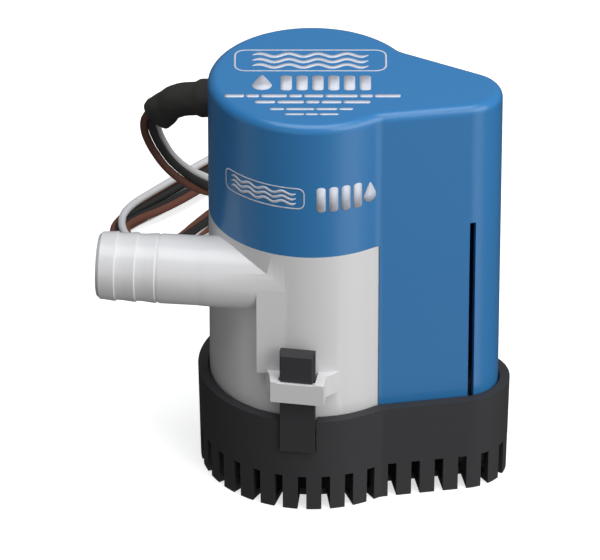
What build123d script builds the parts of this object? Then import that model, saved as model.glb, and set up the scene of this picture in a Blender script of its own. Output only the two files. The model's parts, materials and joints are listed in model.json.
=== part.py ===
"""Automatic bilge pump: pear-shaped motor cap, pump body with a barbed outlet, slotted strainer base,
motor with its rotor and impeller, float switch, and three loose leads.

Millimetres. Origin on the impeller axis at the underside of the strainer base. +Z up, +X towards the
float-chamber lobe, -X towards the outlet, -Y towards the front latch.
"""
import os
from math import atan2, cos, degrees, hypot, radians, sin, sqrt, tan

from build123d import *

# ---------------------------------------------------------------- outline of cap and base, seen from above
CAP_R = 30.5                  # radius of the round part, on the impeller axis
LOBE_X = 44.6                 # centre of the lobe's rounded end
LOBE_R = 11.5                 # radius of the lobe's rounded end
LOBE_TAPER = radians(20.2)    # slope of the lobe's flat sides
WAIST_R = 7.3                 # concave fillet between the round part and the lobe

# ---------------------------------------------------------------- heights
BASE_H = 31.0                 # rim of the strainer base
CAP_Z = 85.5                  # joint between the pump body and the cap
TOP_Z = 129.2                 # top of the cap
TOP_FILLET = 2.8
LEDGE_Z = 26.0                # ledge in the base that carries the body and the lobe skirt
CHAMBER_TOP = 92.0            # ceiling of the float chamber, above the top of its vent slit
SLIT_HALF = 0.9               # half width of the vent slit

# ---------------------------------------------------------------- strainer base
BASE_OUT_LOW = 2.85           # base wall outside the cap outline, at the floor
BASE_OUT_HIGH = 3.5           # and at the rim
BASE_IN = 0.5                 # gap from cap outline to the inside of the wall
FLOOR_T = 2.2
SLOT_W = 2.6
SLOT_H = 11.5
SLOT_DEPTH = 8.0              # from outside the wall to the inner end of the slot in the floor
SLOT_COUNT = 35
SLOT_PHASE = 0.654            # place of the first slot, in pitches from the start of the outline
SCREW_X = (-18.0, 42.0)       # two mounting screws on the centre line
SCREW_HOLE_R = 2.3

# ---------------------------------------------------------------- latches and their loops
LATCH_X = 1.5                 # middle of the latch tongue
LATCH_W = 10.4
LATCH_Y = 32.6                # inner face of the tongue
LATCH_T = 2.0
LATCH_Z = (20.8, 55.4)
HEAD_OUT = 36.1               # front of the latch head
LOOP_IN = 34.9                # inner face of the loop plate
LOOP_OUT = 37.0
LOOP_X = (-6.1, 9.8)
LOOP_Z = (39.1, 45.6)
LOOP_EAR_Z = 46.0
LATCH_GAP = 0.3

# ---------------------------------------------------------------- pump body and outlet
BODY_IN = 28.3                # inner radius of the body
VOLUTE_R = 25.8               # inner radius of the impeller chamber
VOLUTE_OUT = 28.0
VOLUTE_Z = 14.0
OUTLET_Y = -19.7              # outlet axis where it crosses the impeller plane
OUTLET_Z = 72.7
OUTLET_TURN = 183.9           # heading of the outlet axis, degrees from +X
OUTLET_LEN = 59.7             # from that crossing to the tip
OUTLET_ROOT_R = 10.5
OUTLET_HOSE_R = 10.3          # straight stretch that the hose is clamped on
OUTLET_TIP_R = 9.95           # between the barbs
OUTLET_STRAIGHT = (30.0, 41.0)
OUTLET_BORE_R = 8.2
OUTLET_BORE_END = 5.0         # how far from the crossing the bore starts
BARB_PITCH = 5.95
BARB_FIRST = 5.5              # first barb from the tip
BARB_R = 10.33                # crest of each barb
BARB_RAMP = 4.0               # length of each barb's slope towards the tip
DUCT_X = -11.2                # sharp edge where the outlet's front wall stands off the round body
DUCT_LOW = 45.0

# ---------------------------------------------------------------- motor
TUBE_OUT = 24.4               # motor housing tube, part of the cap
TUBE_IN = 21.4
TUBE_Z = 33.5
CAN_R = 21.0
CAN_T = 1.6
CAN_Z = (37.0, 99.0)
SHAFT_R = 1.585
SHAFT_Z = (19.0, 107.0)
BUSH_R = 4.0
RUNNING = 0.04                # radial clearance of running fits
ARMATURE_R = 14.0
ARMATURE_Z = (52.0, 82.0)
COMMUTATOR_R = 5.5
COMMUTATOR_Z = (87.5, 96.5)
IMPELLER_R = 20.0
IMPELLER_Z = (17.6, 29.5)
VANE_COUNT = 5
EYE_R = 9.0                   # inlet eye in the suction plate

# ---------------------------------------------------------------- float switch
FLOAT_X = 44.3
FLOAT_Z = (16.0, 34.0)
FLOAT_R = 8.0
STEM_R = 3.0
STEM_BOTTOM = 11.0

# ---------------------------------------------------------------- leads
LEAD_R = 1.2
SLEEVE_R = 5.0
SLEEVE_ROUTE = [(-24.9, 17.0, 109.3), (-34.0, 17.0, 108.7), (-43.4, 18.0, 106.4), (-50.0, 21.4, 99.9)]
LEAD_ROUTES = {
    "brown_lead": [(-50.7, 22.6, 101.8), (-55.3, 26.8, 95.2), (-57.4, 35.6, 85.3), (-58.5, 47.3, 74.5),
                   (-59.2, 61.2, 62.2), (-58.3, 76.0, 47.8), (-54.8, 90.9, 34.0), (-51.3, 105.7, 22.8),
                   (-45.3, 120.1, 14.5), (-40.3, 131.0, 9.0), (-36.4, 140.9, 5.5)],
    "black_lead": [(-50.0, 21.4, 99.7), (-53.1, 26.5, 94.1), (-55.0, 36.2, 85.5), (-56.3, 48.2, 75.3),
                   (-57.2, 62.2, 63.3), (-56.7, 77.2, 49.3), (-53.7, 92.2, 35.8), (-48.9, 106.2, 23.8),
                   (-42.9, 119.2, 14.8), (-37.9, 130.1, 9.3), (-34.0, 140.1, 5.8)],
    "white_lead": [(-48.2, 22.9, 99.0), (-51.0, 27.7, 94.6), (-53.9, 37.8, 87.1), (-55.9, 49.8, 77.2),
                   (-57.2, 63.9, 65.2), (-57.3, 78.9, 51.1), (-54.8, 93.9, 37.4), (-48.0, 107.7, 25.9),
                   (-41.3, 119.5, 16.7), (-35.8, 129.6, 10.5), (-31.6, 139.1, 5.8)],
}
HANK_CENTRE = (-49.0, 144.0)
HANK_TURN = 58.0              # heading of the hank's long axis, degrees from +X
HANK_SIZE = (106.0, 34.0, 9.0)
HANK_EDGE = 3.0


# ---------------------------------------------------------------- helpers
def cylinder_up(radius, height):
    """Cylinder that stands on the origin."""
    return Cylinder(radius, height, align=(Align.CENTER, Align.CENTER, Align.MIN))


def cyl(radius, z_low, z_high, x=0.0, y=0.0):
    """Solid cylinder between two heights."""
    return Pos(x, y, z_low) * cylinder_up(radius, z_high - z_low)


def ring(outer, inner, z_low, z_high, x=0.0, y=0.0):
    """Hollow cylinder between two heights."""
    return cyl(outer, z_low, z_high, x, y) - cyl(inner, z_low - 1, z_high + 1, x, y)


def block(x, y, z):
    """Box from three (low, high) pairs."""
    size = (x[1] - x[0], y[1] - y[0], z[1] - z[0])
    middle = ((x[0] + x[1]) / 2, (y[0] + y[1]) / 2, (z[0] + z[1]) / 2)
    return Pos(*middle) * Box(*size)


def prism(points, z_low, z_high):
    """Upright prism on a plan polygon."""
    face = make_face(Polyline(*points, close=True))
    return Pos(0, 0, z_low) * extrude(face, z_high - z_low)


def pear_face(offset):
    """The pear outline, moved outwards by offset, as a face at z = 0."""
    main = CAP_R + offset
    end = LOBE_R + offset
    waist = WAIST_R - offset
    nx, ny = sin(LOBE_TAPER), cos(LOBE_TAPER)
    reach = LOBE_X * nx + end + waist
    along = sqrt((main + waist) ** 2 - reach ** 2)
    centre = (nx * reach + ny * along, ny * reach - nx * along)
    main_touch = (centre[0] * main / (main + waist), centre[1] * main / (main + waist))
    side_touch = (centre[0] - waist * nx, centre[1] - waist * ny)
    half = ((main_touch[0] + side_touch[0]) / 2 - centre[0], (main_touch[1] + side_touch[1]) / 2 - centre[1])
    scale = waist / hypot(*half)
    waist_mid = (centre[0] + half[0] * scale, centre[1] + half[1] * scale)
    end_touch = (LOBE_X + end * nx, end * ny)

    def low(point):
        return (point[0], -point[1])

    edges = [
        ThreePointArc(low(end_touch), (LOBE_X + end, 0), end_touch),
        Line(end_touch, side_touch),
        ThreePointArc(side_touch, waist_mid, main_touch),
        ThreePointArc(main_touch, (-main, 0), low(main_touch)),
        ThreePointArc(low(main_touch), low(waist_mid), low(side_touch)),
        Line(low(side_touch), low(end_touch)),
    ]
    return make_face(edges)


def pear(offset, z_low, z_high):
    """Upright solid on the pear outline."""
    return Pos(0, 0, z_low) * extrude(pear_face(offset), z_high - z_low)


def corner_radii(points, cap=200.0):
    """Arc radius for each inner point of a route: as large as its two runs allow."""
    radii = []
    for before, here, after in zip(points, points[1:], points[2:]):
        run_in = Vector(*here) - Vector(*before)
        run_out = Vector(*after) - Vector(*here)
        turn = radians(run_in.get_angle(run_out))
        shorter = min(run_in.length, run_out.length)
        radii.append(min(cap, 0.45 * shorter / tan(turn / 2)))
    return radii


def tube(points, radius, name=None):
    """Round tube along straight runs joined by tangent arcs."""
    radii = corner_radii(points)
    path = FilletPolyline(*points, radius=radii)
    if name:
        print(name, "length", round(path.length, 1), "radii", [round(r, 1) for r in radii])
    section = Plane(origin=path @ 0, z_dir=path % 0) * Circle(radius)
    return sweep(section, path=path)


def mirrored(shape):
    """The same piece on the rear side."""
    return mirror(shape, about=Plane.XZ)


# ---------------------------------------------------------------- strainer base
def slot_cutter(wire, distance):
    """One strainer slot: through the wall and inwards across the floor, at a length along the outline."""
    place = wire.position_at(distance / wire.length)
    heading = wire.tangent_at(distance / wire.length)
    angle = degrees(atan2(heading.Y, heading.X))
    cutter = block((-SLOT_W / 2, SLOT_W / 2), (-SLOT_DEPTH, SLOT_DEPTH), (-1, SLOT_H))
    return Pos(place.X, place.Y, 0) * Rot(0, 0, angle) * cutter


def latch_window():
    """Opening in the base wall that the latch tongue fills."""
    half = LATCH_W / 2 + LATCH_GAP
    return block((LATCH_X - half, LATCH_X + half), (-40, -30.2), (LATCH_Z[0] - LATCH_GAP, BASE_H + 1))


def make_strainer_base():
    lower = pear_face(BASE_OUT_LOW)
    upper = Pos(0, 0, BASE_H) * pear_face(BASE_OUT_HIGH)
    shell = loft([lower, upper], ruled=True)
    shell -= pear(BASE_IN, FLOOR_T, BASE_H + 1)
    ledge = pear(BASE_IN + 0.3, LEDGE_Z - 2.2, LEDGE_Z) - pear(-1.3, LEDGE_Z - 3, LEDGE_Z + 1)
    shell += ledge
    for angle in (45, 135, 225, 315):
        post = cyl(2.0, FLOOR_T - 0.5, VOLUTE_Z, 26.4 * cos(radians(angle)), 26.4 * sin(radians(angle)))
        shell += post
    for x in SCREW_X:
        shell += cyl(4.5, FLOOR_T - 0.5, FLOOR_T + 2.3, x)
    wire = pear_face(BASE_OUT_LOW).face().outer_wire()
    pitch = wire.length / SLOT_COUNT
    for index in range(SLOT_COUNT):
        shell -= slot_cutter(wire, (index + SLOT_PHASE) * pitch)
    for x in SCREW_X:
        shell -= cyl(SCREW_HOLE_R, -1, 8, x)
    shell -= latch_window()
    shell -= mirrored(latch_window())
    return shell


def make_front_latch():
    low, high = LATCH_Z
    half = LATCH_W / 2
    outer = -(LATCH_Y + LATCH_T)
    tongue = block((LATCH_X - half, LATCH_X + half), (outer, -LATCH_Y), (low, high))
    profile = [(-LATCH_Y, LOOP_Z[1] + LATCH_GAP), (-HEAD_OUT, LOOP_Z[1] + LATCH_GAP), (-HEAD_OUT, high - 0.9),
               (-HEAD_OUT + 0.9, high), (-LATCH_Y, high)]
    face = Plane.YZ.offset(LATCH_X - half + 0.3) * make_face(Polyline(*profile, close=True))
    head = extrude(face, LATCH_W - 0.6)
    return fillet((tongue + head).edges().filter_by(Axis.Z).group_by(Axis.Y)[0], 0.4)


# ---------------------------------------------------------------- pump body
def outlet_location():
    return Pos(0, OUTLET_Y, OUTLET_Z) * Rot(0, 0, OUTLET_TURN) * Rot(0, 90, 0)


def outlet_barrel():
    """Hose barb along its own axis, with saw-tooth rings near the tip."""
    start, end = OUTLET_STRAIGHT
    profile = [(0, 0), (OUTLET_ROOT_R, 0), (OUTLET_ROOT_R, start - 4.0), (OUTLET_HOSE_R, start), (OUTLET_HOSE_R, end)]
    for index in (2, 1, 0):
        crest = OUTLET_LEN - BARB_FIRST - index * BARB_PITCH
        profile.append((OUTLET_TIP_R, crest - 0.3))
        profile.append((BARB_R, crest))
        profile.append((OUTLET_TIP_R, crest + BARB_RAMP))
    profile.append((OUTLET_TIP_R, OUTLET_LEN - 1.0))
    profile.append((OUTLET_TIP_R - 0.9, OUTLET_LEN))
    profile.append((0, OUTLET_LEN))
    face = Plane.XZ * make_face(Polyline(*profile, close=True))
    return revolve(face, Axis.Z)


def loop_shape():
    """Loop that the latch tongue passes through: a front plate between two flared ears."""
    slot = (LATCH_X - LATCH_W / 2 - LATCH_GAP, LATCH_X + LATCH_W / 2 + LATCH_GAP)
    plate = block(LOOP_X, (-LOOP_OUT, -LOOP_IN), LOOP_Z)
    left = prism([(LOOP_X[0], -LOOP_OUT), (slot[0], -LOOP_OUT), (slot[0], -28.9), (LOOP_X[0] - 3.0, -29.0),
                  (LOOP_X[0] - 0.9, -33.0)], LOOP_Z[0], LOOP_EAR_Z)
    right = prism([(slot[1], -LOOP_OUT), (LOOP_X[1], -LOOP_OUT), (LOOP_X[1] - 0.2, -31.9), (LOOP_X[1] + 3.8, -26.9),
                   (slot[1], -27.5)], LOOP_Z[0], LOOP_EAR_Z)
    return plate + left + right


def make_pump_body():
    body = cyl(CAP_R, LEDGE_Z, CAP_Z) + cyl(VOLUTE_OUT, VOLUTE_Z, LEDGE_Z + 0.5)
    heading = radians(OUTLET_TURN)
    along = (cos(heading), sin(heading))
    outward = (-sin(heading), cos(heading))
    front = (OUTLET_ROOT_R * outward[0], OUTLET_Y + OUTLET_ROOT_R * outward[1])
    reach = (DUCT_X - front[0]) / along[0]
    corner = (DUCT_X, front[1] + reach * along[1])
    duct = prism([front, corner, (DUCT_X + 0.6, -20.0), (3.0, -20.0), (3.0, front[1])], DUCT_LOW, OUTLET_Z)
    body += duct
    body += outlet_location() * outlet_barrel()
    for loop in (loop_shape(), mirrored(loop_shape())):
        body += loop
    body -= cyl(BODY_IN, LEDGE_Z + 2.2, CAP_Z + 1)
    body -= cyl(VOLUTE_R, VOLUTE_Z - 1, LEDGE_Z + 3)
    bore = Pos(0, 0, OUTLET_BORE_END) * cylinder_up(OUTLET_BORE_R, OUTLET_LEN)
    body -= outlet_location() * bore
    return body


def make_suction_plate():
    plate = ring(VOLUTE_R, EYE_R, VOLUTE_Z, VOLUTE_Z + 2.5)
    return plate + ring(EYE_R + 1.8, EYE_R, VOLUTE_Z - 4.0, VOLUTE_Z + 0.5)


# ---------------------------------------------------------------- cap and seals
def make_motor_cap():
    shell = pear(0, CAP_Z, TOP_Z)
    top_edges = shell.faces().sort_by(Axis.Z)[-1].edges()
    shell = fillet(top_edges, TOP_FILLET)
    round_keep = cyl(CAP_R + 0.4, LEDGE_Z - 1, CAP_Z)
    shell += pear(0, LEDGE_Z, CAP_Z + 0.5) - round_keep - cyl(CAP_R - 0.5, CAP_Z - 1, CAP_Z + 1)
    shell += pear(0, CAP_Z, CAP_Z + 1)
    chamber = pear(-2.2, LEDGE_Z - 1, CHAMBER_TOP) - cyl(CAP_R + 2.4, LEDGE_Z - 2, CHAMBER_TOP + 1)
    dry_round = pear(-2.3, CAP_Z + 2.0, TOP_Z - 2.8) & cyl(CAP_R - 2.3, CAP_Z, TOP_Z)
    dry_lobe = pear(-2.3, CHAMBER_TOP + 2.0, TOP_Z - 2.8)
    shell -= chamber
    shell -= dry_round
    shell -= dry_lobe
    shell += ring(TUBE_OUT, TUBE_IN, TUBE_Z + 3.5, CAP_Z + 1)
    shell -= cyl(TUBE_IN, CAP_Z - 1, CAP_Z + 4)
    spigot = ring(BODY_IN - 0.2, TUBE_OUT - 0.5, CAP_Z - 5.0, CAP_Z + 0.5)
    shell += spigot - ring(40, BODY_IN - 1.9, CAP_Z - 3.2, CAP_Z - 1.4)
    slit = atan2(-10.4, 4.9)
    opening = prism([(-6, -SLIT_HALF), (6, -SLIT_HALF), (6, SLIT_HALF), (-6, SLIT_HALF)], LEDGE_Z - 1, CAP_Z + 4.8)
    place = Pos(LOBE_X + LOBE_R * cos(slit), LOBE_R * sin(slit), 0) * Rot(0, 0, degrees(slit))
    shell -= place * opening
    shell -= Pos(FLOAT_X, 0, CHAMBER_TOP - 1) * cylinder_up(STEM_R, 4)
    shell -= gland_hole(4.2)
    return shell


def gland_hole(radius):
    """Round hole through the cap wall along X where the leads leave."""
    y, z = SLEEVE_ROUTE[0][1], SLEEVE_ROUTE[0][2]
    return Pos(-40, y, z) * Rot(0, 90, 0) * cylinder_up(radius, 24)


def make_cable_grommet():
    """Rubber bush in the cap wall: it fills the hole and has a flange inside."""
    y, z = SLEEVE_ROUTE[0][1], SLEEVE_ROUTE[0][2]
    bush = Pos(-25.0, y, z) * Rot(0, 90, 0) * cylinder_up(4.2, 6.0)
    bush -= Pos(-25.5, y, z) * Rot(0, 90, 0) * cylinder_up(3.2, 8.0)
    return bush & cyl(CAP_R - 0.3, 90, 125)


def make_cable_potting():
    y, z = SLEEVE_ROUTE[0][1], SLEEVE_ROUTE[0][2]
    plug = Pos(-25.0, y, z) * Rot(0, 90, 0) * cylinder_up(3.2, 6.0)
    return plug & cyl(CAP_R - 0.3, 90, 125)


def make_cable_sleeve():
    """Heat-shrink sleeve: thick where it covers the joint, thinner after a step."""
    body = tube(SLEEVE_ROUTE, SLEEVE_R)
    collar = tube([SLEEVE_ROUTE[0], SLEEVE_ROUTE[1], (-41.0, 17.6, 107.2)], SLEEVE_R + 0.75)
    return (body + collar) - cyl(CAP_R + 0.05, 90, 125)


def make_cap_o_ring():
    return Pos(0, 0, CAP_Z - 2.3) * Torus(BODY_IN - 1.0, 0.85)


def make_seal_plate():
    plate = cyl(TUBE_OUT, TUBE_Z, TUBE_Z + 3.5) - cyl(5.0, TUBE_Z - 1, TUBE_Z + 5)
    for x, y in screw_places():
        plate -= cyl(0.9, TUBE_Z - 1, TUBE_Z + 5, x, y)
    return plate


def screw_places():
    return [(22.9 * cos(radians(a)), 22.9 * sin(radians(a))) for a in (30, 150, 270)]


def make_seal_plate_screws():
    screws = []
    for x, y in screw_places():
        screws.append(cyl(0.85, TUBE_Z - 0.2, TUBE_Z + 3.5, x, y) + cyl(1.45, TUBE_Z - 1.5, TUBE_Z, x, y))
    return Compound(screws)


def make_shaft_seal():
    return ring(5.0, SHAFT_R + 0.05, TUBE_Z, TUBE_Z + 3.0)


# ---------------------------------------------------------------- motor
def make_motor_can():
    low, high = CAN_Z
    can = cyl(CAN_R, low, high) - cyl(CAN_R - CAN_T, low + CAN_T, high + 1)
    can += ring(BUSH_R + 1.2, BUSH_R, low + CAN_T - 0.1, low + 5.0)
    return can - cyl(BUSH_R, low - 1, low + 3)


def make_field_magnets():
    outer = CAN_R - CAN_T
    sleeve = ring(outer, ARMATURE_R + 0.7, 48, 86)
    arcs = []
    for side in (1, -1):
        wedge = prism([(0, 0), (side * 40, -26), (side * 40, 26)], 47, 87)
        arcs.append(sleeve & wedge)
    return Compound(arcs)


def make_motor_end_bell():
    top = CAN_Z[1]
    bell = cyl(CAN_R, top, top + 3.0) + cyl(7.0, top + 2.5, top + 7.5)
    bell -= cyl(BUSH_R, top - 1, top + 9)
    for x in (-12.0, 12.0):
        bell -= block((x - 3.1, x + 3.1), (-0.45, 0.45), (top - 1, top + 4))
    return bell


def make_bush(z_low):
    return ring(BUSH_R, SHAFT_R + RUNNING, z_low, z_low + 4.5)


def make_carbon_brushes():
    middle = sum(COMMUTATOR_Z) / 2
    brushes = []
    for side in (1, -1):
        inner = COMMUTATOR_R + 0.05
        brush = block((inner - 1, inner + 5), (-2.0, 2.0), (middle - 2.5, middle + 2.5))
        brush -= cyl(inner, middle - 4, middle + 4)
        brushes.append(brush if side > 0 else mirror(brush, about=Plane.YZ))
    return Compound(brushes)


def make_brush_arms():
    middle = sum(COMMUTATOR_Z) / 2
    inner = COMMUTATOR_R + 5.05
    arms = []
    for side in (1, -1):
        arm = block((inner, inner + 0.5), (-2.0, 2.0), (middle - 2.5, CAN_Z[1]))
        arm += block((inner, 15.0), (-2.0, 2.0), (CAN_Z[1] - 0.5, CAN_Z[1]))
        arms.append(arm if side > 0 else mirror(arm, about=Plane.YZ))
    return Compound(arms)


def make_motor_terminals():
    top = CAN_Z[1]
    tabs = []
    for x in (-12.0, 12.0):
        tabs.append(block((x - 3.0, x + 3.0), (-0.4, 0.4), (top, top + 9.5)))
    return Compound(tabs)


def make_noise_capacitor():
    top = CAN_Z[1] + 3.0
    disc = Pos(0, 9.0, top + 4.0) * Rot(90, 0, 0) * Cylinder(4.0, 2.4)
    legs = [block((x - 0.3, x + 0.3), (8.7, 9.3), (top, top + 3.0)) for x in (-2.4, 2.4)]
    return disc + legs[0] + legs[1]


# ---------------------------------------------------------------- rotor
def make_motor_shaft():
    return chamfer(cyl(SHAFT_R, *SHAFT_Z).edges().filter_by(GeomType.CIRCLE), 0.3)


def armature_slots(z_low, z_high):
    """Five winding slots, each a narrow mouth that opens into a wider pocket."""
    cutters = []
    for index in range(5):
        mouth = block((6.0, ARMATURE_R + 1), (-0.9, 0.9), (z_low, z_high))
        pocket = prism([(6.0, -1.2), (12.4, -5.6), (12.4, 5.6), (6.0, 1.2)], z_low, z_high)
        cutters.append(Rot(0, 0, 72 * index) * (mouth + pocket))
    return cutters


def make_armature_core():
    core = ring(ARMATURE_R, SHAFT_R, *ARMATURE_Z)
    for cutter in armature_slots(ARMATURE_Z[0] - 1, ARMATURE_Z[1] + 1):
        core -= cutter
    return core


def make_armature_windings():
    low, high = ARMATURE_Z
    coils = ring(12.0, 4.5, low - 3.2, low) + ring(12.0, 4.5, high, high + 3.2)
    for index in range(5):
        pocket = prism([(6.2, -1.1), (12.0, -5.0), (12.0, 5.0), (6.2, 1.1)], low - 0.2, high + 0.2)
        coils += Rot(0, 0, 72 * index) * pocket
    return coils


def make_commutator():
    body = ring(COMMUTATOR_R, SHAFT_R, *COMMUTATOR_Z)
    for index in range(5):
        cut = block((COMMUTATOR_R - 1.0, COMMUTATOR_R + 1), (-0.25, 0.25), (COMMUTATOR_Z[0] - 1, COMMUTATOR_Z[1] + 1))
        body -= Rot(0, 0, 72 * index + 36) * cut
    return body


def make_thrust_washers():
    low = ring(3.4, SHAFT_R, CAN_Z[0] + 5.2, CAN_Z[0] + 6.0)
    high = ring(3.4, SHAFT_R, CAN_Z[1] - 1.2, CAN_Z[1] - 0.4)
    return Compound([low, high])


def make_impeller():
    """Semi-open impeller: back disc, hub and backward-curved vanes that face the inlet eye."""
    low, high = IMPELLER_Z
    wheel = cyl(IMPELLER_R, high - 2.0, high) + cyl(4.6, low + 1.0, high + 1.5)
    for index in range(VANE_COUNT):
        start = (4.0, 0.0)
        middle = (12.6, 5.6)
        finish = (IMPELLER_R * cos(radians(58)), IMPELLER_R * sin(radians(58)))
        line = ThreePointArc(start, middle, finish)
        section = Plane(origin=line @ 0, x_dir=(0, 0, 1), z_dir=line % 0) * Rectangle(high - low - 1.0, 1.6)
        vane = sweep(section, path=line)
        vane = Pos(0, 0, (low + high - 1.0) / 2) * vane
        wheel += Rot(0, 0, 360 / VANE_COUNT * index) * vane
    wheel = wheel & cyl(IMPELLER_R, low, high + 2)
    return wheel - cyl(SHAFT_R, low - 2, high + 3)


# ---------------------------------------------------------------- float switch
def make_float():
    body = ring(FLOAT_R, STEM_R + 0.5, *FLOAT_Z, x=FLOAT_X)
    return body - ring(6.0, STEM_R, FLOAT_Z[1] - 3.5, FLOAT_Z[1] - 0.8, x=FLOAT_X)


def make_float_magnet():
    return ring(6.0, STEM_R + 0.5, FLOAT_Z[1] - 3.5, FLOAT_Z[1] - 0.8, x=FLOAT_X)


def make_float_stem():
    stem = cyl(STEM_R, STEM_BOTTOM, CHAMBER_TOP + 2.0, FLOAT_X)
    stem += cyl(STEM_R + 1.5, CHAMBER_TOP + 2.0, CHAMBER_TOP + 4.0, FLOAT_X)
    stem -= cyl(1.7, STEM_BOTTOM + 4, CHAMBER_TOP + 5, FLOAT_X)
    return stem - ring(STEM_R + 1, STEM_R - 0.6, STEM_BOTTOM + 1.2, STEM_BOTTOM + 2.4, x=FLOAT_X)


def make_float_clip():
    clip = ring(5.2, STEM_R - 0.6, STEM_BOTTOM + 1.3, STEM_BOTTOM + 2.3, x=FLOAT_X)
    return clip - block((FLOAT_X + 0.5, FLOAT_X + 8), (-1.6, 1.6), (STEM_BOTTOM, STEM_BOTTOM + 4))


def make_reed_switch():
    glass = cyl(1.2, 50, 66, FLOAT_X)
    return glass + cyl(0.3, 44, 52, FLOAT_X) + cyl(0.3, 64, CHAMBER_TOP + 6.0, FLOAT_X)


def make_switch_board():
    z = CHAMBER_TOP + 6.0
    board = block((31.0, 48.0), (-7.8, 7.8), (z, z + 1.6))
    for y in (-4.5, 4.5):
        board += cyl(1.6, CHAMBER_TOP + 2.0, z + 0.2, 34.5, y)
    return board


def make_power_transistor():
    z = CHAMBER_TOP + 7.6
    return block((33.0, 43.0), (-7.5, -3.0), (z, z + 10.0))


def make_motor_leads():
    top = CAN_Z[1] + 9.5
    leads = []
    for x, y in ((-12.0, 2.4), (12.0, -2.4)):
        route = [(x, 0, top), (x, 0, top + 4.5), (x + 7, y, top + 7.5), (36.0, y, top + 6.0),
                 (45.0, y, top + 2.0), (46.0, y, CHAMBER_TOP + 7.8)]
        leads.append(tube(route, 0.8))
    return Compound(leads)


def make_inner_leads():
    """Leads from the potting plug across the motor's end to the switch board."""
    y, z = SLEEVE_ROUTE[0][1], SLEEVE_ROUTE[0][2]
    leads = []
    for index in range(3):
        shift = 2.1 * (index - 1)
        route = [(-18.7, y, z + shift * 0.7), (-13.0, y - 0.5, z + shift), (-2.0, y - 2.0, z + 2 + shift),
                 (12.0, 12.5, z + 2 + shift), (26.0, 7.5, z + 1 + shift), (38.0, 5.0 + 0.1 * index, z - 1 + shift)]
        leads.append(tube(route, 0.9))
    return Compound(leads)


def make_lead_hank():
    """Outer shape of the loose hank: a flat stadium with rounded edges, lying on the ground."""
    length, width, height = HANK_SIZE
    straight = length - width
    shape = extrude(SlotCenterToCenter(straight, width), height)
    shape = fillet(shape.edges().filter_by(Plane.XY), HANK_EDGE)
    return Pos(HANK_CENTRE[0], HANK_CENTRE[1], 0) * Rot(0, 0, HANK_TURN) * shape


# ---------------------------------------------------------------- write every piece
def build():
    front_latch = make_front_latch()
    pieces = {
        "strainer_base": make_strainer_base(),
        "front_latch": front_latch,
        "rear_latch": mirrored(front_latch),
        "pump_body": make_pump_body(),
        "suction_plate": make_suction_plate(),
        "motor_cap": make_motor_cap(),
        "cap_o_ring": make_cap_o_ring(),
        "seal_plate": make_seal_plate(),
        "seal_plate_screws": make_seal_plate_screws(),
        "shaft_seal": make_shaft_seal(),
        "motor_can": make_motor_can(),
        "field_magnets": make_field_magnets(),
        "motor_end_bell": make_motor_end_bell(),
        "lower_bush": make_bush(CAN_Z[0]),
        "upper_bush": make_bush(CAN_Z[1]),
        "carbon_brushes": make_carbon_brushes(),
        "brush_arms": make_brush_arms(),
        "motor_terminals": make_motor_terminals(),
        "noise_capacitor": make_noise_capacitor(),
        "motor_shaft": make_motor_shaft(),
        "armature_core": make_armature_core(),
        "armature_windings": make_armature_windings(),
        "commutator": make_commutator(),
        "thrust_washers": make_thrust_washers(),
        "impeller": make_impeller(),
        "float": make_float(),
        "float_magnet": make_float_magnet(),
        "float_stem": make_float_stem(),
        "float_clip": make_float_clip(),
        "reed_switch": make_reed_switch(),
        "switch_board": make_switch_board(),
        "power_transistor": make_power_transistor(),
        "motor_leads": make_motor_leads(),
        "inner_leads": make_inner_leads(),
        "cable_potting": make_cable_potting(),
        "cable_grommet": make_cable_grommet(),
        "cable_sleeve": make_cable_sleeve(),
        "lead_hank": make_lead_hank(),
    }
    for name, route in LEAD_ROUTES.items():
        pieces[name] = tube(route, LEAD_R, name)
    return pieces


os.makedirs("parts", exist_ok=True)
for name, shape in build().items():
    shape.label = name
    export_step(shape, f"parts/{name}.step")
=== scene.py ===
"""Looks of the automatic bilge pump: materials, printed marks, sleeve, loose leads, light and camera.

All lengths given in millimetres are turned into metres by MM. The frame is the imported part's own.
"""
import json
import math
import random

import bmesh
import bpy
from mathutils import Matrix, Vector


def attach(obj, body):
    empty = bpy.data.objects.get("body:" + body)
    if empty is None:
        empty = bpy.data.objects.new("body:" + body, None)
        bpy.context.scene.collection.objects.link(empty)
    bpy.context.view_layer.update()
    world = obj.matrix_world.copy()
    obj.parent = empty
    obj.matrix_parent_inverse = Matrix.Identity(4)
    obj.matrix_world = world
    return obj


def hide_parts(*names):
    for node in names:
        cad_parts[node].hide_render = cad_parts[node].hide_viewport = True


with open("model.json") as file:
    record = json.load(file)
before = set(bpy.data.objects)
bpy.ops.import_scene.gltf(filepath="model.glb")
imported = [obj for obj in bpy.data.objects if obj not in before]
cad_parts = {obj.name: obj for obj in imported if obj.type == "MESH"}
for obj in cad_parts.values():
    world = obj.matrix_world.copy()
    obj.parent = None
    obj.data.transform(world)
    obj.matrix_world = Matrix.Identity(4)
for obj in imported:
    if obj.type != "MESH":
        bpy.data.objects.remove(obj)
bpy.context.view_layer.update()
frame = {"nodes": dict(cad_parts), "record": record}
NODES = frame["nodes"]
SCENE = bpy.context.scene
MM = 0.001

# ---------------------------------------------------------------- camera
VIEW_BACK = Vector((0.1452, -0.8421, 0.5194))
VIEW_RIGHT = Vector((0.9855, 0.1699, 0.0))
VIEW_UP = Vector((-0.0883, 0.5119, 0.8545))
VIEW_DISTANCE = 2.046
VIEW_CENTRE = Vector((0, 0, 0.060))
SHIFT_RIGHT, SHIFT_UP = 0.00354, 0.00049
SENSOR_WIDTH = 36.0
LENS = 413.86
CLIP_END = 20.0


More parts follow.
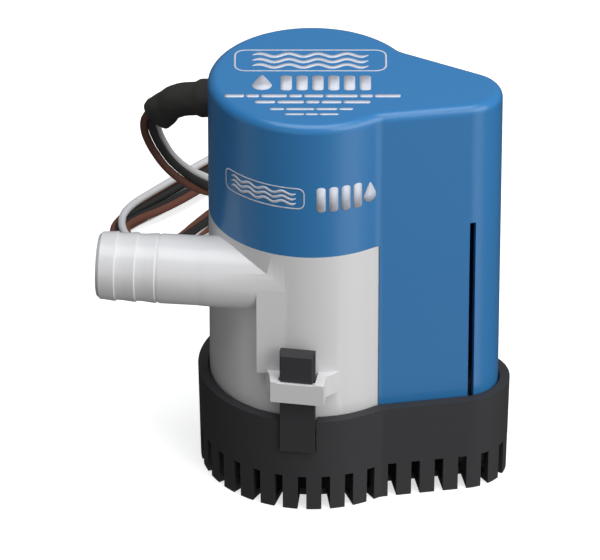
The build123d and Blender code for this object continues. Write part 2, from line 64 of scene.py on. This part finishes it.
def make_camera():
    data = bpy.data.cameras.new("camera")
    data.sensor_width = SENSOR_WIDTH
    data.lens = LENS
    data.clip_end = CLIP_END
    camera = bpy.data.objects.new("camera", data)
    SCENE.collection.objects.link(camera)
    target = VIEW_CENTRE - VIEW_RIGHT * SHIFT_RIGHT - VIEW_UP * SHIFT_UP
    back = VIEW_BACK.normalized()
    camera.location = target + back * VIEW_DISTANCE
    camera.rotation_mode = "QUATERNION"
    camera.rotation_quaternion = (-back).to_track_quat("-Z", "Y")
    SCENE.camera = camera


# ---------------------------------------------------------------- materials
NOISE_ROUGHNESS = 0.55
MOTTLE_DETAIL = 4.0
PATCH_DETAIL = 3.0
PATCH_RATIO = 3.1             # roughness patches are this much finer than the mottling
BUMP_DETAIL = 2.0


def add(tree, kind, **values):
    """A new node; values set its properties or, by input name with _ for a space, its sockets."""
    node = tree.nodes.new(kind)
    for name, value in values.items():
        socket = name.replace("_", " ")
        if socket in node.inputs:
            node.inputs[socket].default_value = value
        else:
            setattr(node, name, value)
    return node


def rgba(colour, factor=1.0):
    return tuple(min(1.0, c * factor) for c in colour[:3]) + (1.0,)


def colour_sockets(sockets):
    return [socket for socket in sockets if socket.type == "RGBA"]


def noise(tree, scale, detail, stretch):
    """Noise in the row frame, features about 1/scale metres, stretched along axes by the given factors."""
    place = add(tree, "ShaderNodeTexCoord")
    mapping = add(tree, "ShaderNodeMapping")
    mapping.inputs["Scale"].default_value = [scale / s for s in stretch]
    texture = add(tree, "ShaderNodeTexNoise", Scale=1.0, Detail=detail,
                  Roughness=NOISE_ROUGHNESS)
    tree.links.new(place.outputs["Object"], mapping.inputs["Vector"])
    tree.links.new(mapping.outputs["Vector"], texture.inputs["Vector"])
    return texture.outputs["Fac"]


def spread(tree, source, low, high, lowest=0.35, highest=0.65):
    """The source remapped so that its usual range gives low to high."""
    ramp = add(tree, "ShaderNodeMapRange", From_Min=lowest, From_Max=highest, To_Min=low, To_Max=high)
    tree.links.new(source, ramp.inputs["Value"])
    return ramp.outputs["Result"]


def finish_material(name, colour, roughness, mottle=0.05, mottle_scale=70, grain=0.0, grain_scale=2500,
                    wave=0.0, wave_scale=160, stretch=(1, 1, 1), rough_spread=0.06, tint=None, **sockets):
    """Procedural material: mottled colour, uneven roughness, and two sizes of bump (metres high)."""
    material = bpy.data.materials.new(name)
    material.use_nodes = True
    tree = material.node_tree
    shader = tree.nodes["Principled BSDF"]
    for key, value in sockets.items():
        shader.inputs[key.replace("_", " ")].default_value = value
    mix = add(tree, "ShaderNodeMix", data_type="RGBA")
    dark, light = colour_sockets(mix.inputs)
    dark.default_value = rgba(colour, 1 - mottle)
    light.default_value = rgba(tint or colour, 1 + mottle)
    coarse = noise(tree, mottle_scale, MOTTLE_DETAIL, stretch)
    tree.links.new(spread(tree, coarse, 0.0, 1.0), mix.inputs["Factor"])
    tree.links.new(colour_sockets(mix.outputs)[0], shader.inputs["Base Color"])
    patches = noise(tree, mottle_scale * PATCH_RATIO, PATCH_DETAIL, stretch)
    tree.links.new(spread(tree, patches, roughness - rough_spread, roughness + rough_spread),
                   shader.inputs["Roughness"])
    normal = None
    for height, scale in ((wave, wave_scale), (grain, grain_scale)):
        if height:
            bump = add(tree, "ShaderNodeBump", Strength=1.0, Distance=height)
            tree.links.new(noise(tree, scale, BUMP_DETAIL, stretch), bump.inputs["Height"])
            if normal:
                tree.links.new(normal, bump.inputs["Normal"])
            normal = bump.outputs["Normal"]
    if normal:
        tree.links.new(normal, shader.inputs["Normal"])
    return material


MATERIALS = {
    "black_plastic": dict(colour=(0.004, 0.004, 0.004), roughness=0.28, grain=0.000005, grain_scale=2200,
                          mottle=0.25, rough_spread=0.05, Specular_IOR_Level=0.15),
    "white_plastic": dict(colour=(0.75, 0.745, 0.745), roughness=0.26, wave=0.00008, wave_scale=90, mottle=0.02,
                          tint=(0.74, 0.735, 0.73), grain=0.000004, grain_scale=1600,
                          Subsurface_Weight=0.3, Subsurface_Radius=(1.0, 1.0, 1.0), Subsurface_Scale=0.004),
    "blue_plastic": dict(colour=(0.012, 0.165, 0.400), roughness=0.22, wave=0.0001, wave_scale=75, mottle=0.05,
                         mottle_scale=50, tint=(0.013, 0.172, 0.41), rough_spread=0.03, grain=0.000003,
                         grain_scale=1500),
    "seal_rubber": dict(colour=(0.02, 0.02, 0.02), roughness=0.6, grain=0.00004, mottle=0.2),
    "inner_plastic": dict(colour=(0.06, 0.06, 0.065), roughness=0.45, grain=0.00003, mottle=0.15),
    "steel": dict(colour=(0.55, 0.55, 0.56), roughness=0.3, grain=0.00002, stretch=(1, 1, 8), Metallic=1.0),
    "ferrite": dict(colour=(0.05, 0.05, 0.055), roughness=0.6, grain=0.00006, grain_scale=1800, mottle=0.2),
    "bronze": dict(colour=(0.48, 0.29, 0.12), roughness=0.42, grain=0.00004, mottle=0.15, Metallic=1.0),
    "carbon": dict(colour=(0.03, 0.03, 0.03), roughness=0.5, grain=0.00004, mottle=0.2),
    "copper": dict(colour=(0.60, 0.22, 0.09), roughness=0.32, grain=0.00008, grain_scale=1200,
                   stretch=(1, 1, 4), mottle=0.15, Metallic=1.0),
    "lamination": dict(colour=(0.33, 0.33, 0.34), roughness=0.4, grain=0.00008, grain_scale=1900,
                       stretch=(12, 12, 1), mottle=0.2, Metallic=1.0),
    "component_orange": dict(colour=(0.55, 0.17, 0.02), roughness=0.35, wave=0.0001, mottle=0.1),
    "impeller_plastic": dict(colour=(0.03, 0.03, 0.033), roughness=0.4, grain=0.00003, mottle=0.2),
    "float_foam": dict(colour=(0.05, 0.05, 0.055), roughness=0.75, grain=0.00012, grain_scale=1500, mottle=0.08),
    "reed_glass": dict(colour=(0.60, 0.75, 0.68), roughness=0.08, mottle=0.05, Transmission_Weight=0.8, IOR=1.47),
    "board_green": dict(colour=(0.02, 0.10, 0.035), roughness=0.35, grain=0.00003, grain_scale=1500, mottle=0.2),
    "sleeve_black": dict(colour=(0.0055, 0.0054, 0.005), roughness=0.38, wave=0.00025, wave_scale=420,
                         mottle=0.25, grain=0.00003, grain_scale=2600, stretch=(3, 1, 1), rough_spread=0.1,
                         Specular_IOR_Level=0.35),
    "lead_brown": dict(colour=(0.0075, 0.0045, 0.0032), roughness=0.30, wave=0.0001, wave_scale=260,
                       mottle=0.25, tint=(0.014, 0.0075, 0.0045), rough_spread=0.1, Specular_IOR_Level=0.3),
    "lead_black": dict(colour=(0.003, 0.0028, 0.0026), roughness=0.34, wave=0.0001, wave_scale=260,
                       mottle=0.25, rough_spread=0.1, Specular_IOR_Level=0.3),
    "lead_white": dict(colour=(0.34, 0.33, 0.36), roughness=0.40, wave=0.0001, wave_scale=260, mottle=0.06,
                       rough_spread=0.08),
    "print_white": dict(colour=(0.66, 0.69, 0.78), roughness=0.45, mottle=0.06, mottle_scale=500, grain=0.00001),
    "tinned": dict(colour=(0.62, 0.60, 0.57), roughness=0.33, grain=0.00004, Metallic=1.0),
}


def set_material(obj, name):
    obj.data.materials.clear()
    obj.data.materials.append(bpy.data.materials[name])


def dress_nodes():
    """Gives every CAD node its slot's material."""
    for part in frame["record"]["subparts"]:
        set_material(NODES[part["node"]], part["material_slot"])


WELD_DISTANCE = 0.000002
SHARP_ANGLE = math.radians(35.0)
EDGE_SEGMENTS = 3
NORMAL_WEIGHT = 90
EDGE_WIDTHS = {"pump_body": 0.0003, "motor_cap": 0.00025, "strainer_base": 0.0003,
               "front_latch": 0.0003, "rear_latch": 0.0003}


def soften(node, width):
    """Rounds a CAD node's sharp edges."""
    obj = NODES[node]
    weld = obj.modifiers.new("weld", "WELD")
    weld.merge_threshold = WELD_DISTANCE
    bevel = obj.modifiers.new("bevel", "BEVEL")
    bevel.width = width
    bevel.segments = EDGE_SEGMENTS
    bevel.limit_method = "ANGLE"
    bevel.angle_limit = SHARP_ANGLE
    bevel.miter_outer = "MITER_ARC"
    weighted = obj.modifiers.new("weighted_normal", "WEIGHTED_NORMAL")
    weighted.mode = "FACE_AREA"
    weighted.weight = NORMAL_WEIGHT
    weighted.keep_sharp = False
    for polygon in obj.data.polygons:
        polygon.use_smooth = True


# ---------------------------------------------------------------- pieces made here
def link_mesh(name, build, body, material):
    """A mesh piece from a function that fills a bmesh."""
    mesh = bpy.data.meshes.new(name)
    work = bmesh.new()
    build(work)
    bmesh.ops.recalc_face_normals(work, faces=work.faces)
    work.to_mesh(mesh)
    work.free()
    obj = bpy.data.objects.new(name, mesh)
    SCENE.collection.objects.link(obj)
    for polygon in mesh.polygons:
        polygon.use_smooth = True
    set_material(obj, material)
    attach(obj, body)
    return obj


# ---------------------------------------------------------------- leads
LEAD_DIAMETER = 2.4 * MM
ROUND_STEPS = 5
LENGTH_STEPS = 10
LEAD_SEED = 7
ROUTES = {
    "brown": [(-50.7, 22.6, 101.8), (-55.3, 26.8, 95.2), (-57.4, 35.6, 85.3), (-58.5, 47.3, 74.5),
              (-59.2, 61.2, 62.2), (-58.3, 76.0, 47.8), (-54.8, 90.9, 34.0), (-51.3, 105.7, 22.8),
              (-45.3, 120.1, 14.5), (-40.3, 131.0, 9.0), (-36.4, 140.9, 6.3)],
    "black": [(-50.0, 21.4, 99.7), (-53.1, 26.5, 94.1), (-55.0, 36.2, 85.5), (-56.3, 48.2, 75.3),
              (-57.2, 62.2, 63.3), (-56.7, 77.2, 49.3), (-53.7, 92.2, 35.8), (-48.9, 106.2, 23.8),
              (-42.9, 119.2, 14.8), (-37.9, 130.1, 9.3), (-34.0, 140.1, 6.6)],
    "white": [(-48.2, 22.9, 99.0), (-51.0, 27.7, 94.6), (-53.9, 37.8, 87.1), (-55.9, 49.8, 77.2),
              (-57.2, 63.9, 65.2), (-57.3, 78.9, 51.1), (-54.8, 93.9, 37.4), (-48.0, 107.7, 25.9),
              (-41.3, 119.5, 16.7), (-35.8, 129.6, 10.5), (-31.6, 139.1, 6.6)],
}
HANK_CENTRE = Vector((-49.0, 144.0))
HANK_TURN = math.radians(58.0)
# for each turn: sideways offset on both runs, height, near and far half length, and radius of the end loops
TURNS = {
    "brown": [(14.9, 3.9, 52.0, 51.5, 14.2), (9.9, 1.4, 50.0, 48.5, 10.6), (6.2, 3.9, 47.0, 46.5, 9.8)],
    "black": [(12.4, 3.9, 50.0, 50.5, 12.6), (14.9, 1.4, 51.8, 50.0, 14.5), (8.7, 3.9, 48.5, 48.5, 10.2)],
    "white": [(14.0, 6.4, 45.5, 51.5, 14.6), (12.4, 1.4, 50.5, 50.5, 12.6), (9.6, 1.4, 48.0, 48.0, 11.0)],
}
SIDE_POINTS = 3
CAP_POINTS = 5
TURN_POINTS = 2 * (SIDE_POINTS + CAP_POINTS)
CAP_STEP = 36                 # degrees between points round an end
CAP_SWELL = 1.05              # ends are this much rounder, since the curve cuts inside its points
FIRST_STEP = 2                # where the free stretch joins the first turn
BLEND_STEP = 10               # from here each turn drifts to the next one's place
LOWEST = 1.3
LOOSE, LOOSE_END = 0.7, 0.12  # how far points wander, mid run and elsewhere
TAIL_STEPS = ((-0.5, 4.0), (0.0, 5.4), (0.5, 6.4), (1.0, 6.6))
TAIL_REACH = 40.0
TAIL_SIDE = {"brown": -5.6, "black": -8.4, "white": -8.0}


def hank_point(along, across, height):
    """A point of the hank, from its own axes in millimetres, in the row frame."""
    c, s = math.cos(HANK_TURN), math.sin(HANK_TURN)
    x = HANK_CENTRE.x + along * c - across * s
    y = HANK_CENTRE.y + along * s + across * c
    return (x, y, height)


def oval(step, offset, near, far, radius):
    """Point of one turn at step 0 to TURN_POINTS: out along -offset, round the far end, back, round the near end."""
    far_end, near_end = far - radius, near - radius
    reach = radius * CAP_SWELL
    first_angle = -2 * CAP_STEP
    if step < SIDE_POINTS:
        share = (step + 0.5) / SIDE_POINTS
        return -near_end + share * (far_end + near_end), -offset
    step -= SIDE_POINTS
    if step < CAP_POINTS:
        angle = math.radians(first_angle + CAP_STEP * step)
        return far_end + reach * math.cos(angle), reach * math.sin(angle)
    step -= CAP_POINTS
    if step < SIDE_POINTS:
        share = (step + 0.5) / SIDE_POINTS
        return far_end - share * (far_end + near_end), offset
    step -= SIDE_POINTS
    angle = math.radians(180 + first_angle + CAP_STEP * step)
    return -near_end + reach * math.cos(angle), reach * math.sin(angle)


def hank_route(colour, rng):
    """The lead's own turns after its free stretch, then a straight tail on top of them."""
    points = []
    turns = TURNS[colour]
    for index, (offset, height, near, far, radius) in enumerate(turns):
        following = turns[min(index + 1, len(turns) - 1)]
        for step in range(TURN_POINTS):
            if index == 0 and step < FIRST_STEP:
                continue
            blend = max(0.0, (step - BLEND_STEP) / (TURN_POINTS - BLEND_STEP))
            place = oval(step, *[a + blend * (b - a) for a, b in zip(
                (offset, near, far, radius), (following[0], following[2], following[3], following[4]))])
            up = height + blend * (following[1] - height)
            wander = LOOSE if step in (1, 9) else LOOSE_END
            along = place[0] + rng.uniform(-wander, wander)
            across = place[1] + rng.uniform(-wander, wander)
            points.append(hank_point(along, across, max(LOWEST, up + rng.uniform(-LOOSE_END, LOOSE_END))))
    for share, height in TAIL_STEPS:
        points.append(hank_point(TAIL_REACH * share, TAIL_SIDE[colour], height))
    return points


def make_lead(colour, rng):
    points = ROUTES[colour] + hank_route(colour, rng)
    curve = bpy.data.curves.new(colour + "_lead_cord", "CURVE")
    curve.dimensions = "3D"
    curve.bevel_depth = LEAD_DIAMETER / 2
    curve.bevel_resolution = ROUND_STEPS
    curve.resolution_u = LENGTH_STEPS
    curve.use_fill_caps = True
    spline = curve.splines.new("NURBS")
    spline.points.add(len(points) - 1)
    for place, point in zip(spline.points, points):
        place.co = (point[0] * MM, point[1] * MM, point[2] * MM, 1.0)
    spline.order_u = 3
    spline.use_endpoint_u = True
    obj = bpy.data.objects.new(colour + "_lead_cord", curve)
    SCENE.collection.objects.link(obj)
    set_material(obj, "lead_" + colour)
    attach(obj, "housing")
    end, before = Vector(points[-1]) * MM, Vector(points[-2]) * MM
    tip = make_tinned_end(colour, end, (end - before).normalized())
    return obj


STRANDS = 7                   # one in the middle and six round it
STRAND_RINGS, STRAND_SIDES = 14, 8
STRAND_CENTRE = 0.52 * MM
STRAND_RADIUS = 0.27 * MM
STRAND_TIP = 0.35             # radius at the very end, as a share
STRIPPED = 7.6 * MM
STRIP_START = -0.4 * MM       # strands begin inside the sheath
STRAND_TWIST = 2.4


def make_tinned_end(colour, end, heading):
    """Stripped and tinned strands twisted together at a lead's end."""
    turn = heading.to_track_quat("Z", "Y").to_matrix().to_4x4()
    place = Matrix.Translation(end) @ turn

    def build(work):
        for strand in range(STRANDS):
            centre = 0.0 if strand == 0 else STRAND_CENTRE
            rows = []
            for ring in range(STRAND_RINGS + 1):
                z = STRIP_START + STRIPPED * ring / STRAND_RINGS
                swing = math.tau * strand / (STRANDS - 1) + STRAND_TWIST * ring / STRAND_RINGS
                middle = Vector((centre * math.cos(swing), centre * math.sin(swing), z))
                radius = STRAND_RADIUS * (STRAND_TIP if ring == STRAND_RINGS else 1.0)
                row = []
                for side in range(STRAND_SIDES):
                    a = math.tau * side / STRAND_SIDES
                    edge = Vector((radius * math.cos(a), radius * math.sin(a), 0))
                    row.append(work.verts.new(place @ (middle + edge)))
                rows.append(row)
            join_rows(work, rows)

    return link_mesh(colour + "_lead_tinned_end", build, "housing", "tinned")


def join_rows(work, rows, caps=True):
    """Faces between rings of vertices, with both ends closed if caps is set."""
    for low, high in zip(rows, rows[1:]):
        for index in range(len(low)):
            after = (index + 1) % len(low)
            work.faces.new((low[index], low[after], high[after], high[index]))
    if caps:
        work.faces.new(list(reversed(rows[0])))
        work.faces.new(rows[-1])


def make_leads():
    rng = random.Random(LEAD_SEED)
    cords = [make_lead(colour, rng) for colour in ROUTES]
    for colour, cord in zip(ROUTES, cords):
        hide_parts(colour + "_lead")
    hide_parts("lead_hank")


# ---------------------------------------------------------------- heat-shrink sleeve
SLEEVE_ROUTE = [(-24.9, 17.0, 109.3), (-34.0, 17.0, 108.7), (-43.4, 18.0, 106.4), (-50.0, 21.4, 99.9)]
SLEEVE_SIDES = 56
SLEEVE_RINGS = 70
SLEEVE_START = 0.02           # share of the route at the first ring
SLEEVE_WALL = 0.7
MOUTH_RINGS = 14              # the inside is modelled this far back from the mouth
MOUTH_SLANT = 0.055


def smooth_step(value, low, high):
    t = min(1.0, max(0.0, (value - low) / (high - low)))
    return t * t * (3 - 2 * t)


def route_frame(points, share):
    """Point and axes on a smooth curve through the route's points."""
    count = len(points)
    place = share * (count - 1)
    index = min(int(place), count - 2)
    t = place - index
    p0 = points[max(index - 1, 0)]
    p1, p2 = points[index], points[index + 1]
    p3 = points[min(index + 2, count - 1)]
    here = [0.5 * (2 * b + (c - a) * t + (2 * a - 5 * b + 4 * c - d) * t * t + (3 * b - a - 3 * c + d) * t ** 3)
            for a, b, c, d in zip(p0, p1, p2, p3)]
    slope = [0.5 * ((c - a) + 2 * (2 * a - 5 * b + 4 * c - d) * t + 3 * (3 * b - a - 3 * c + d) * t * t)
             for a, b, c, d in zip(p0, p1, p2, p3)]
    ahead = Vector(slope).normalized()
    side = ahead.cross(Vector((0, 0, 1))).normalized()
    return Vector(here), side, side.cross(ahead).normalized()


def sleeve_radius(share, angle):
    """Radius of the sleeve in millimetres: a thick start, one step, wrinkles, and a mouth moulded to the leads."""
    thick = 5.75 - 0.75 * smooth_step(share, 0.40, 0.47)
    mouth = smooth_step(share, 0.72, 1.0)
    wrinkle = 0.10 * math.sin(5 * angle + 7 * share) * math.sin(19 * share + 1.3 * math.sin(2 * angle))
    wrinkle += 0.07 * math.sin(9 * angle - 14 * share) * (0.3 + mouth)
    lobes = 0.55 * mouth * math.cos(3 * (angle - 0.5))
    flat = -0.7 * mouth * abs(math.cos(angle - 0.35))
    pinch = -0.35 * math.exp(-((share - 0.78) / 0.05) ** 2)
    return thick + wrinkle + lobes + flat + pinch + 0.35 * mouth


def build_sleeve(work):
    """A thin tube, hollow at its mouth."""
    outer, inner = [], []
    hollow_from = SLEEVE_RINGS - MOUTH_RINGS
    for ring in range(SLEEVE_RINGS + 1):
        share = SLEEVE_START + (1 - SLEEVE_START) * ring / SLEEVE_RINGS
        out_row, in_row = [], []
        for index in range(SLEEVE_SIDES):
            angle = math.tau * index / SLEEVE_SIDES
            slant = MOUTH_SLANT * smooth_step(share, 0.8, 1.0) * math.sin(angle)
            centre, side, up = route_frame(SLEEVE_ROUTE, min(1.0, share - max(0.0, slant)))
            heading = side * math.cos(angle) + up * math.sin(angle)
            radius = sleeve_radius(share, angle)
            out_row.append(work.verts.new((centre + heading * radius) * MM))
            if ring >= hollow_from:
                in_row.append(work.verts.new((centre + heading * (radius - SLEEVE_WALL)) * MM))
        outer.append(out_row)
        if in_row:
            inner.append(in_row)
    join_rows(work, outer, caps=False)
    join_rows(work, inner, caps=False)
    join_rows(work, [outer[-1], inner[-1]], caps=False)
    work.faces.new(inner[0])
    work.faces.new(list(reversed(outer[0])))


def make_sleeve():
    sleeve = link_mesh("heat_shrink_sleeve", build_sleeve, "housing", "sleeve_black")
    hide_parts("cable_sleeve")


# ---------------------------------------------------------------- printed marks
CAP_R = 30.5
TOP_Z = 129.2
PRINT_LOW = 0.01              # underside and top of the printed layer over the cap
PRINT_HIGH = 0.07
TOP_TURN = math.radians(9.8)


def on_top(u, v, height):
    c, s = math.cos(TOP_TURN), math.sin(TOP_TURN)
    return Vector((u * c - v * s, u * s + v * c, TOP_Z + height)) * MM


def on_front(u, v, height):
    """u runs round the cap from its front-facing side, v is the height of the mark."""
    angle = math.radians(-90) + u / CAP_R
    reach = CAP_R + height
    return Vector((reach * math.cos(angle), reach * math.sin(angle), v)) * MM


def add_strip(work, centre, widths, place, closed=False):
    """Thin raised strip along a flat path, with its own width at each point."""
    count = len(centre)
    rows = []
    for index in range(count):
        if closed:
            before, after = centre[index - 1], centre[(index + 1) % count]
        else:
            before, after = centre[max(index - 1, 0)], centre[min(index + 1, count - 1)]
        run = Vector((after[0] - before[0], after[1] - before[1])).normalized()
        across = Vector((-run.y, run.x)) * widths[index] / 2
        left = (centre[index][0] + across.x, centre[index][1] + across.y)
        right = (centre[index][0] - across.x, centre[index][1] - across.y)
        rows.append([work.verts.new(place(*left, PRINT_LOW)), work.verts.new(place(*right, PRINT_LOW)),
                     work.verts.new(place(*right, PRINT_HIGH)), work.verts.new(place(*left, PRINT_HIGH))])
    if closed:
        rows.append(rows[0])
    join_rows(work, rows, caps=not closed)


def frame_path(left, right, low, high, corner):
    """Closed rounded rectangle."""
    points = []
    corners = ((right - corner, high - corner, 0), (left + corner, high - corner, 90),
               (left + corner, low + corner, 180), (right - corner, low + corner, 270))
    for index, (x, y, start) in enumerate(corners):
        for step in range(5):
            angle = math.radians(start + 22.5 * step)
            points.append((x + corner * math.cos(angle), y + corner * math.sin(angle)))
        following = corners[(index + 1) % 4]
        angle = math.radians(start + 90)
        here = Vector((x + corner * math.cos(angle), y + corner * math.sin(angle)))
        there = Vector((following[0] + corner * math.cos(angle), following[1] + corner * math.sin(angle)))
        steps = max(2, int((there - here).length / 1.2))
        for step in range(1, steps):
            points.append(tuple(here.lerp(there, step / steps)))
    return points


def bar(work, left, right, low, high, place, corner=0.4):
    """Solid bar with rounded ends, as a strip along its length."""
    middle, width = (low + high) / 2, high - low
    steps = max(6, int((right - left) / 0.6))
    path, widths = [], []
    for step in range(steps + 1):
        x = left + (right - left) * step / steps
        path.append((x, middle))
        edge = min(x - left, right - x)
        widths.append(width - 2 * corner * (1 - min(1.0, edge / corner + 0.15)))
    add_strip(work, path, widths, place)


def wave(work, left, right, middle, height, length, width, place):
    """Water line: a strip along a sine curve, thin at both ends."""
    steps = int((right - left) / 0.45)
    path, widths = [], []
    for step in range(steps + 1):
        x = left + (right - left) * step / steps
        path.append((x, middle + height * math.sin(math.tau * (x - left) / length)))
        edge = min(step, steps - step) / steps
        widths.append(width * min(1.0, 0.25 + edge * 14))
    add_strip(work, path, widths, place)


DROP_BELLY = 0.34             # height of the widest place, as a share
DROP_TAPER = 0.8
DROP_WIDTH = 0.66             # greatest width, as a share of the height
DROP_TIP = 0.08


def drop(work, x, low, high, place):
    """Water drop, point up."""
    steps = 14
    path, widths = [], []
    for step in range(steps + 1):
        t = step / steps
        path.append((x, low + (high - low) * t))
        if t < DROP_BELLY:
            fullness = math.sqrt(max(0.0, 1 - ((t - DROP_BELLY) / DROP_BELLY) ** 2))
        else:
            fullness = (1 - ((t - DROP_BELLY) / (1 - DROP_BELLY))) ** DROP_TAPER
        widths.append(max(DROP_TIP, DROP_WIDTH * (high - low) * fullness))
    add_strip(work, path, widths, place)


DASH_GAP = 0.36               # gap between dashes, as a share of their height


def dashes(work, left, right, low, high, pattern, place):
    """Row of short bars that fills the space from left to right; pattern gives their relative lengths."""
    gap = DASH_GAP * (high - low)
    room = right - left - gap * (len(pattern) - 1)
    start = left
    for share in pattern:
        length = room * share / sum(pattern)
        bar(work, start, start + length, low, high, place, corner=0.3)
        start += length + gap


TOP_ROWS = [(-25.4, 25.6, -12.9, -11.2, (3, 2, 4, 2, 3, 5, 2, 4)), (-16.6, 16.8, -16.4, -14.8, (3, 4, 2, 3, 4)),
            (-12.3, 11.8, -20.3, -19.1, (2, 4, 3, 2)), (-8.0, 7.6, -23.2, -22.2, (3, 2, 3))]


def build_top_print(work):
    border = frame_path(-22.6, 21.6, 2.7, 15.0, 3.0)
    add_strip(work, border, [0.55] * len(border), on_top, closed=True)
    for middle in (5.6, 8.8, 12.0):
        wave(work, -17.5, 16.5, middle, 0.9, 8.5, 1.5, on_top)
    drop(work, -14.6, -8.7, 0.2, on_top)
    for index in range(6):
        left = -9.2 + 4.6 * index
        bar(work, left, left + 3.3, -8.8, -0.2, on_top, corner=0.8)
    for left, right, low, high, pattern in TOP_ROWS:
        dashes(work, left, right, low, high, pattern, on_top)


def build_front_print(work):
    border = frame_path(-24.2, 2.8, 101.9, 108.6, 1.8)
    add_strip(work, border, [0.4] * len(border), on_front, closed=True)
    for middle in (103.7, 105.3, 106.9):
        wave(work, -21.6, 0.4, middle, 0.45, 5.5, 0.85, on_front)
    for index in range(4):
        left = 6.4 + 3.7 * index
        bar(work, left, left + 2.7, 100.8, 109.0, on_front, corner=0.7)
    drop(work, 23.0, 101.6, 108.2, on_front)


def make_print():
    link_mesh("cap_top_print", build_top_print, "housing", "print_white")
    link_mesh("cap_front_print", build_front_print, "housing", "print_white")


# ---------------------------------------------------------------- stage
FLOOR_HALF = 4.0
FLOOR_DROP = 0.0002
FLOOR_GLOW = 0.65


def make_floor():
    mesh = bpy.data.meshes.new("floor")
    corners = [(x * FLOOR_HALF, y * FLOOR_HALF, 0) for x, y in ((-1, -1), (1, -1), (1, 1), (-1, 1))]
    mesh.from_pydata(corners, [], [(0, 1, 2, 3)])
    floor = bpy.data.objects.new("floor", mesh)
    floor.location.z = -FLOOR_DROP
    floor.visible_diffuse = False
    floor.visible_glossy = False
    SCENE.collection.objects.link(floor)
    material = finish_material("floor", (0.86, 0.86, 0.86), 0.8, mottle=0.01, mottle_scale=3,
                               Emission_Color=(1, 1, 1, 1), Emission_Strength=FLOOR_GLOW, Specular_IOR_Level=0.0)
    material.cycles.emission_sampling = "NONE"
    floor.data.materials.append(material)


LIGHT_TARGET = Vector((0, 0, 0.07))
# name, azimuth and elevation in degrees, distance, size, power, colour
LIGHTS = [("top_softbox", -90, 80, 0.95, (0.8, 0.7), 5.7, (0.96, 0.98, 1.0)),
          ("right_softbox", -30, 32, 1.0, (0.8, 0.8), 5.9, (1.0, 0.985, 0.965)),
          ("front_fill", -105, 8, 1.0, (0.7, 0.4), 0.25, (1.0, 0.985, 0.965))]


def area_light(name, azimuth, elevation, distance, size, power, colour):
    data = bpy.data.lights.new(name, "AREA")
    data.shape = "RECTANGLE"
    data.size, data.size_y = size
    data.energy = power
    data.color = colour
    light = bpy.data.objects.new(name, data)
    a, e = math.radians(azimuth), math.radians(elevation)
    ahead = Vector((math.cos(a) * math.cos(e), math.sin(a) * math.cos(e), math.sin(e)))
    light.location = LIGHT_TARGET + ahead * distance
    light.rotation_mode = "QUATERNION"
    light.rotation_quaternion = (-ahead).to_track_quat("-Z", "Y")
    SCENE.collection.objects.link(light)


# brightness of the surroundings by direction, degrees from +X: below the horizon, and above it
BELOW = [(-180, 0.05), (-171, 0.10), (-167, 0.42), (-150, 0.38), (-138, 0.14), (-74, 0.14), (-59, 0.30),
         (-48, 1.05), (-40, 1.35), (-28, 1.25), (-19, 0.60), (-10, 0.25), (16, 0.14), (46, 0.08), (106, 0.06),
         (180, 0.05)]
ABOVE = [(-180, 0.06), (-120, 0.16), (-60, 0.22), (-20, 0.25), (40, 0.20), (100, 0.26), (150, 0.10), (180, 0.06)]
WORLD_STRENGTH = 2.0          # the ramps hold half of each brightness, so this doubles them back
HORIZON = (-0.12, 0.05)       # heights of direction between which below turns into above


def ramp_by_azimuth(tree, azimuth, stops):
    """Grey by azimuth, as a ramp over the whole circle."""
    ramp = add(tree, "ShaderNodeValToRGB")
    tree.links.new(azimuth, ramp.inputs["Fac"])
    elements = ramp.color_ramp.elements
    elements.remove(elements[1])
    elements[0].position = 0.0
    for index, (angle, value) in enumerate(stops):
        element = elements[0] if index == 0 else elements.new((angle + 180) / 360)
        grey = value / WORLD_STRENGTH
        element.color = (grey, grey, grey, 1)
    return ramp.outputs["Color"]


def make_world():
    world = bpy.data.worlds.new("studio")
    world.use_nodes = True
    tree = world.node_tree
    background = tree.nodes["Background"]
    place = add(tree, "ShaderNodeTexCoord")
    split = add(tree, "ShaderNodeSeparateXYZ")
    tree.links.new(place.outputs["Generated"], split.inputs["Vector"])
    turn = add(tree, "ShaderNodeMath", operation="ARCTAN2")
    tree.links.new(split.outputs["Y"], turn.inputs[0])
    tree.links.new(split.outputs["X"], turn.inputs[1])
    share = add(tree, "ShaderNodeMapRange", From_Min=-math.pi, From_Max=math.pi, To_Min=0.0, To_Max=1.0)
    tree.links.new(turn.outputs["Value"], share.inputs["Value"])
    side = add(tree, "ShaderNodeMapRange", From_Min=HORIZON[0], From_Max=HORIZON[1], To_Min=0.0, To_Max=1.0)
    tree.links.new(split.outputs["Z"], side.inputs["Value"])
    mix = add(tree, "ShaderNodeMix", data_type="RGBA")
    below = ramp_by_azimuth(tree, share.outputs["Result"], BELOW)
    above = ramp_by_azimuth(tree, share.outputs["Result"], ABOVE)
    tree.links.new(side.outputs["Result"], mix.inputs["Factor"])
    for source, socket in zip((below, above), colour_sockets(mix.inputs)):
        tree.links.new(source, socket)
    tree.links.new(colour_sockets(mix.outputs)[0], background.inputs["Color"])
    background.inputs["Strength"].default_value = WORLD_STRENGTH
    SCENE.world = world
    SCENE.view_settings.view_transform = "Standard"


def make_light():
    for light in LIGHTS:
        area_light(*light)
    make_world()


# ---------------------------------------------------------------- the scene
make_camera()
for material_name, settings in MATERIALS.items():
    finish_material(material_name, **settings)
make_leads()
dress_nodes()
make_sleeve()
make_print()
for node_name, edge_width in EDGE_WIDTHS.items():
    soften(node_name, edge_width)
make_floor()
make_light()
